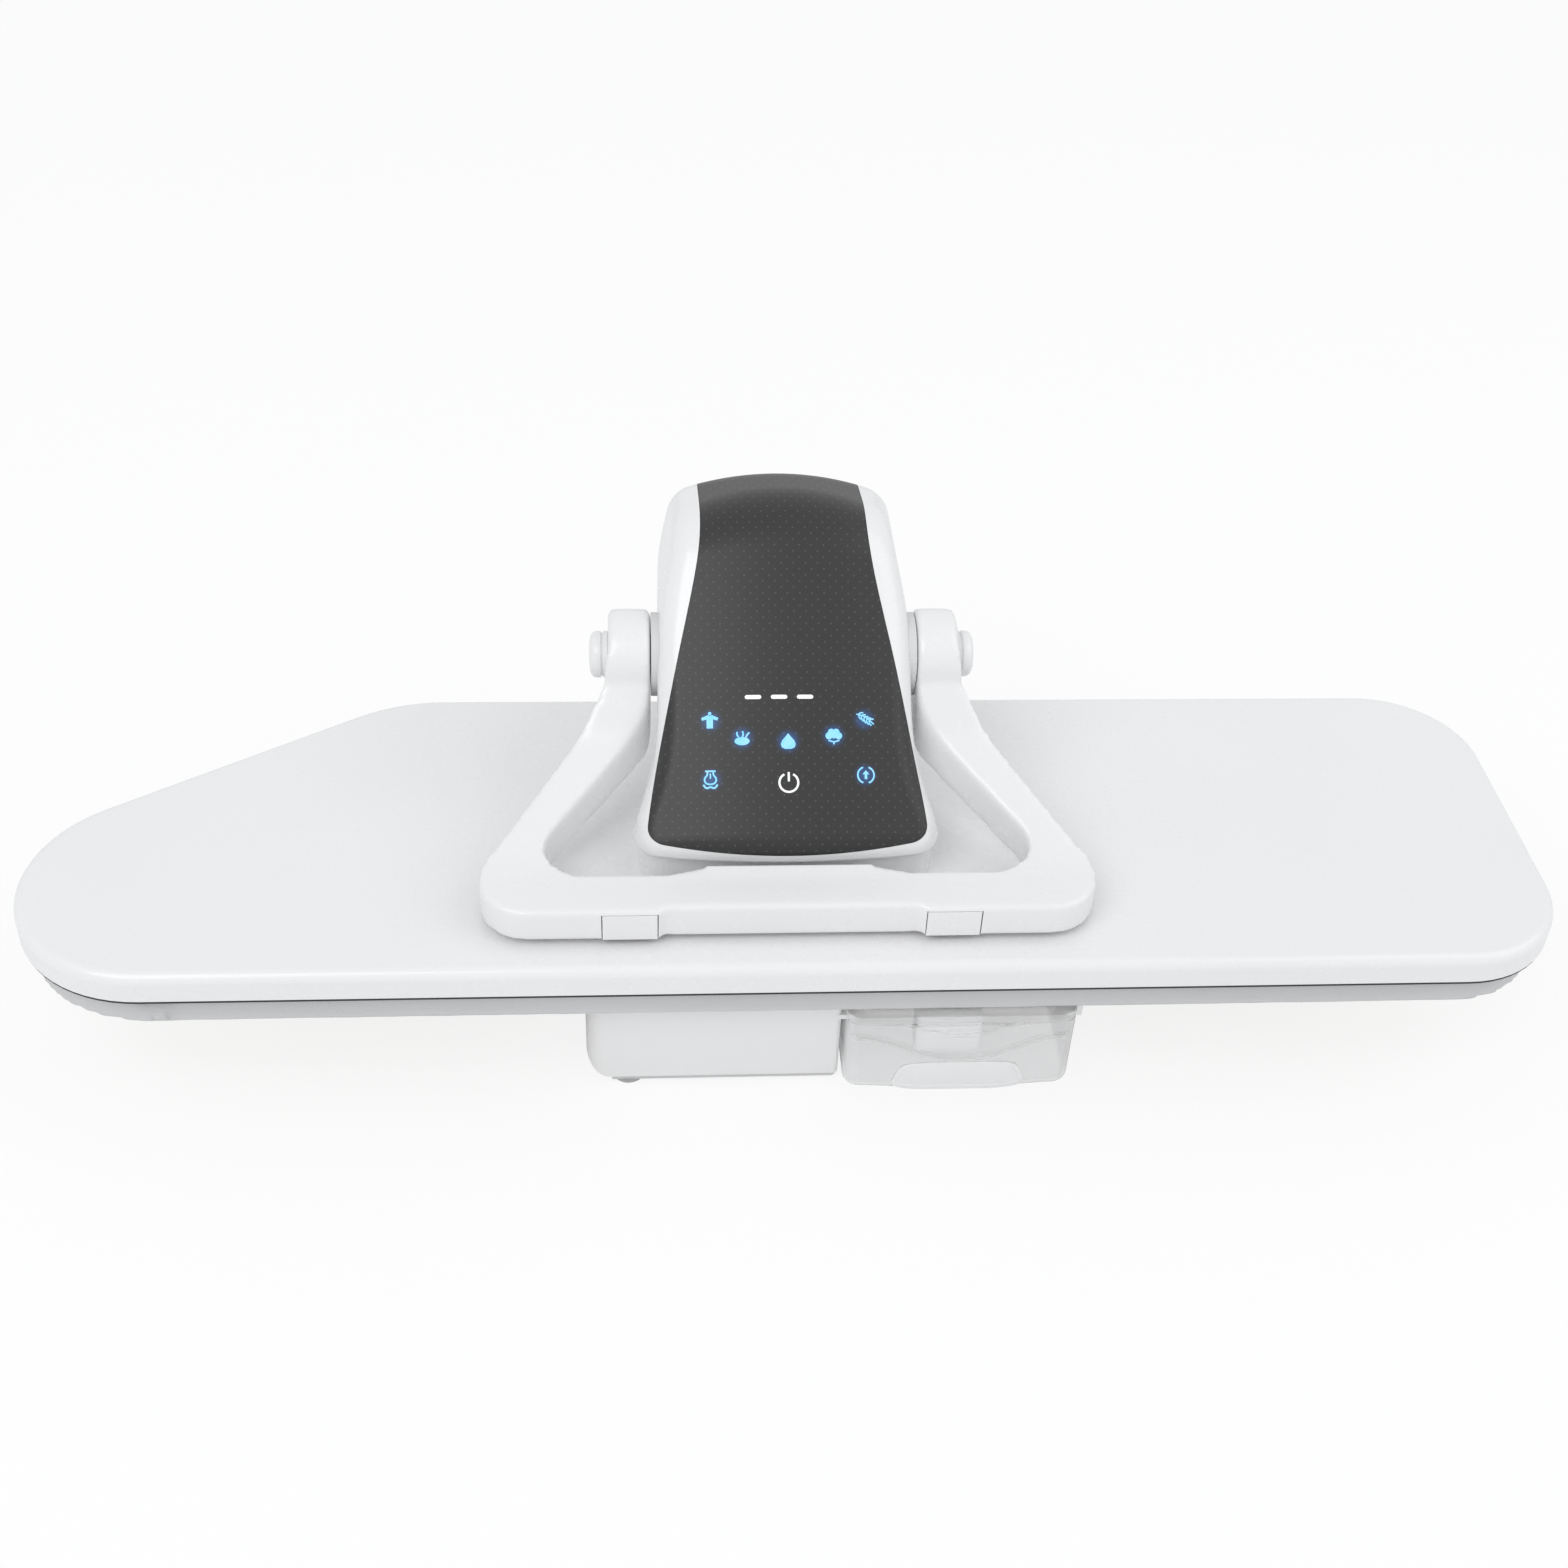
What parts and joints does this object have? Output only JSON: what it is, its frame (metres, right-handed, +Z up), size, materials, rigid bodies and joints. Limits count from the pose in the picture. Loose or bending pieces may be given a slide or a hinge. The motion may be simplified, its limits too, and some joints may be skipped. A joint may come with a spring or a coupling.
{
  "type": "steam ironing press",
  "caption": "Long steam ironing press: a heated plate in a hinged cover over a padded board, with a U-shaped handle, a sloping touch panel and a pull-out water tank in its pedestal.",
  "frame": {"origin": "bottom centre of the part's bounding box, on the surface that its feet stand on", "axes": "+X to the right end of the board as the user sees it, +Y from the handle to the hinge, +Z up"},
  "size_m": [0.8337, 0.2904, 0.2645],
  "materials": {
    "white_plastic": "gloss",
    "grey_plastic": "matt",
    "panel_glass": "gloss",
    "light_guide": "gloss",
    "clear_plastic": "gloss",
    "cover_cloth": "woven",
    "foam": "matt",
    "fibreboard": "matt",
    "steel": "satin",
    "painted_steel": "satin",
    "plate_aluminium": "satin",
    "heater_sheath": "satin",
    "insulation": "matt",
    "rubber": "matt",
    "circuit_board": "matt"
  },
  "bodies": {
    "base": {"board_cover": "cover_cloth", "foam_pad": "foam", "press_board": "fibreboard", "board_screws": "steel", "base_shell": "white_plastic", "base_plate": "painted_steel", "base_screws": "steel", "rubber_feet": "rubber", "bracket_bolts": "steel", "hinge_bracket": "steel", "hinge_pin": "steel", "hinge_clips": "steel", "lift_spring": "steel", "column_cover_left": "white_plastic", "column_cover_right": "white_plastic", "tank_seat": "grey_plastic", "pump": "grey_plastic", "pump_mounts": "rubber", "water_hose": "rubber", "feed_hose": "rubber", "steam_riser": "grey_plastic", "power_board": "circuit_board", "board_posts": "grey_plastic", "cord_gland": "grey_plastic"},
    "head": {"lift_arm": "steel", "hinge_bushes": "grey_plastic", "pivot_bushes": "grey_plastic", "top_cover": "white_plastic", "cover_screws": "steel", "insulating_frame": "insulation", "carrier_studs": "steel", "housing_shell": "white_plastic", "panel_glass": "panel_glass", "light_guides": "light_guide", "control_board": "circuit_board", "pivot_collars": "grey_plastic", "neck_cover": "white_plastic"},
    "plate": {"heating_plate": "plate_aluminium", "heating_element": "heater_sheath", "chamber_lid_left": "plate_aluminium", "chamber_lid_right": "plate_aluminium", "lid_screws": "steel", "plate_springs": "steel", "thermal_cutout": "heater_sheath", "steam_hose": "rubber", "pressure_yoke": "steel"},
    "handle": {"handle_grip": "white_plastic", "handle_under_cover": "white_plastic", "handle_screws": "steel", "micro_switches": "grey_plastic", "pivot_shaft": "steel", "pivot_caps": "white_plastic", "pressure_cams": "steel"},
    "button_left": {"steam_button_left": "white_plastic"},
    "button_right": {"steam_button_right": "white_plastic"},
    "tank": {"tank_body": "clear_plastic", "tank_lid": "clear_plastic", "tank_outlet": "grey_plastic"},
    "tank_cap": {"tank_cap": "grey_plastic", "cap_seal": "rubber"}
  },
  "joints": [
    {"name": "head_hinge", "type": "hinge", "parent": "base", "child": "head", "pos_m": [-0.0075, 0.12325, 0.0987], "axis": [-1, 0, 0], "range_deg": [0, 50]},
    {"name": "handle_pivot", "type": "hinge", "parent": "head", "child": "handle", "pos_m": [-0.0075, 0.01625, 0.1887], "axis": [-1, 0, 0], "range_deg": [0, 45]},
    {"name": "plate_press", "type": "slide", "parent": "head", "child": "plate", "axis": [0, 0, 1], "range_m": [0, 0.0022]},
    {"name": "tank_slide", "type": "slide", "parent": "base", "child": "tank", "axis": [0, -1, 0], "range_m": [0, 0.125]},
    {"name": "cap_turn", "type": "hinge", "parent": "tank", "child": "tank_cap", "pos_m": [0.062, -0.10675, 0.058], "axis": [0, 0, 1], "range_deg": [0, 90]},
    {"name": "left_button_press", "type": "slide", "parent": "handle", "child": "button_left", "axis": [0, 1, 0], "range_m": [0, 0.0025], "stiffness_N_per_m": 400},
    {"name": "right_button_press", "type": "slide", "parent": "handle", "child": "button_right", "axis": [0, 1, 0], "range_m": [0, 0.0025], "stiffness_N_per_m": 400}
  ],
  "couplings": [
    {"joint": "plate_press", "follows": "handle_pivot", "m_per_rad": 0.0028}
  ]
}
